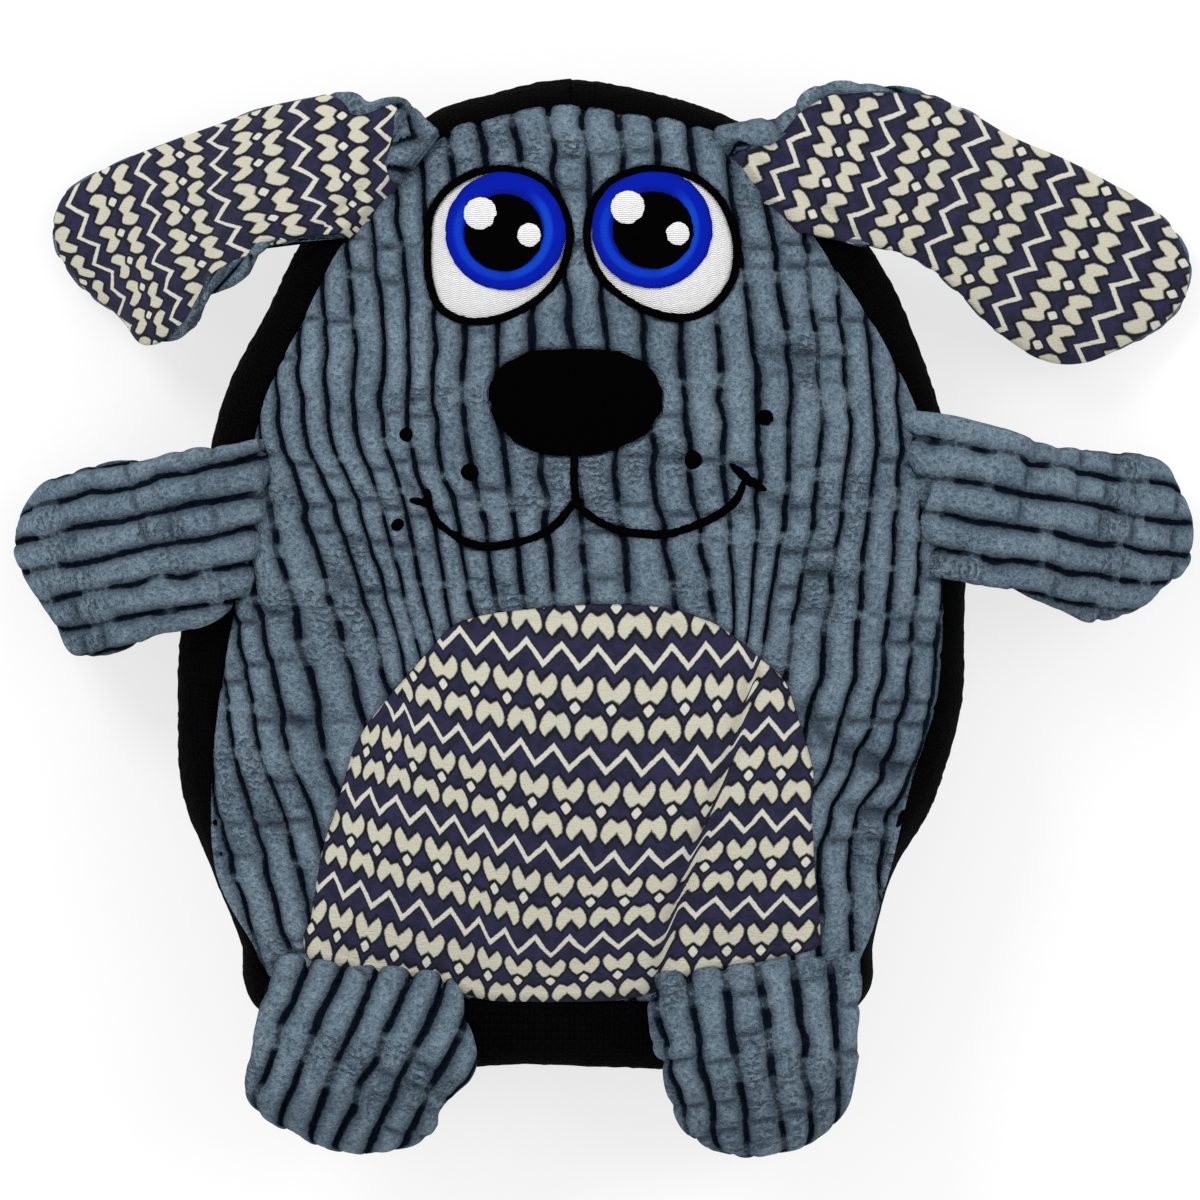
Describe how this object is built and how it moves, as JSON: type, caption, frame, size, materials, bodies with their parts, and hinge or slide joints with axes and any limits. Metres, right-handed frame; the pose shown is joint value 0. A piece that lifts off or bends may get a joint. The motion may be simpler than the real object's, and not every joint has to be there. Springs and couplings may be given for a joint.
{
  "type": "dog toy",
  "caption": "Flat stuffed puppy of wide-wale plush with a black webbing side, a printed belly patch, an embroidered face, floppy limbs and squeakers inside.",
  "frame": {"origin": "on the flat back face that the toy rests on, below the middle of the body", "axes": "+Z out of the face, away from the floor; +Y towards the top of the head; +X towards the ear and arm on the right of the picture"},
  "size_m": [0.2634, 0.2376, 0.0585],
  "materials": {
    "plush": "matte",
    "webbing": "matte",
    "print_cloth": "matte",
    "filling": "matte",
    "black_thread": "satin",
    "white_thread": "satin",
    "blue_thread": "satin",
    "squeaker_plastic": "satin"
  },
  "bodies": {
    "root": {"front_panel": "plush", "back_panel": "plush", "side_gusset": "webbing", "belly_patch": "print_cloth", "front_filling": "filling", "back_filling": "filling", "nose": "black_thread", "mouth": "black_thread", "left_eye_outline": "black_thread", "left_eye_white": "white_thread", "left_eye_iris": "blue_thread", "left_eye_pupil": "black_thread", "left_eye_large_glint": "white_thread", "left_eye_small_glint": "white_thread", "right_eye_outline": "black_thread", "right_eye_white": "white_thread", "right_eye_iris": "blue_thread", "right_eye_pupil": "black_thread", "right_eye_large_glint": "white_thread", "right_eye_small_glint": "white_thread", "whisker_dot_1": "black_thread", "whisker_dot_2": "black_thread", "whisker_dot_3": "black_thread", "whisker_dot_4": "black_thread", "whisker_dot_5": "black_thread", "head_squeaker_base": "squeaker_plastic", "head_squeaker_bellows": "squeaker_plastic", "head_squeaker_reed_plug": "squeaker_plastic", "belly_squeaker_base": "squeaker_plastic", "belly_squeaker_bellows": "squeaker_plastic", "belly_squeaker_reed_plug": "squeaker_plastic"},
    "left_ear": {"left_ear_front": "print_cloth", "left_ear_back": "plush", "left_ear_filling": "filling"},
    "right_ear": {"right_ear_front": "print_cloth", "right_ear_back": "plush", "right_ear_filling": "filling"},
    "left_arm": {"left_arm_front": "plush", "left_arm_back": "plush", "left_arm_filling": "filling"},
    "right_arm": {"right_arm_front": "plush", "right_arm_back": "plush", "right_arm_filling": "filling"},
    "left_leg": {"left_leg_front": "plush", "left_leg_back": "plush", "left_leg_filling": "filling"},
    "right_leg": {"right_leg_front": "plush", "right_leg_back": "plush", "right_leg_filling": "filling"},
    "head_squeaker_press": {"head_squeaker_top": "squeaker_plastic"},
    "belly_squeaker_press": {"belly_squeaker_top": "squeaker_plastic"}
  },
  "joints": [
    {"name": "right_ear_flop", "type": "hinge", "parent": "root", "child": "right_ear", "pos_m": [0.04309, 0.09353, 0.0431], "axis": [0.6866, -0.7271, 0], "range_deg": [0, 110]},
    {"name": "left_ear_flop", "type": "hinge", "parent": "root", "child": "left_ear", "pos_m": [-0.04194, 0.09151, 0.0431], "axis": [0.6786, 0.7346, 0], "range_deg": [0, 110]},
    {"name": "right_arm_flop", "type": "hinge", "parent": "root", "child": "right_arm", "pos_m": [0.08115, 0.02448, 0.0431], "axis": [0.1857, -0.9826, 0], "range_deg": [0, 110]},
    {"name": "left_arm_flop", "type": "hinge", "parent": "root", "child": "left_arm", "pos_m": [-0.07357, 0.01736, 0.0431], "axis": [0.1283, 0.9917, 0], "range_deg": [0, 110]},
    {"name": "right_leg_flop", "type": "hinge", "parent": "root", "child": "right_leg", "pos_m": [0.04018, -0.08825, 0.0431], "axis": [-0.999, -0.0438, 0], "range_deg": [0, 110]},
    {"name": "left_leg_flop", "type": "hinge", "parent": "root", "child": "left_leg", "pos_m": [-0.04631, -0.08744, 0.0431], "axis": [-0.9984, 0.056, 0], "range_deg": [0, 110]},
    {"name": "head_squeaker_press_slide", "type": "slide", "parent": "root", "child": "head_squeaker_press", "axis": [0, 0, -1], "range_m": [0, 0.006], "stiffness_N_per_m": 300, "deforming": ["head_squeaker_bellows"]},
    {"name": "belly_squeaker_press_slide", "type": "slide", "parent": "root", "child": "belly_squeaker_press", "axis": [0, 0, -1], "range_m": [0, 0.006], "stiffness_N_per_m": 300, "deforming": ["belly_squeaker_bellows"]}
  ]
}
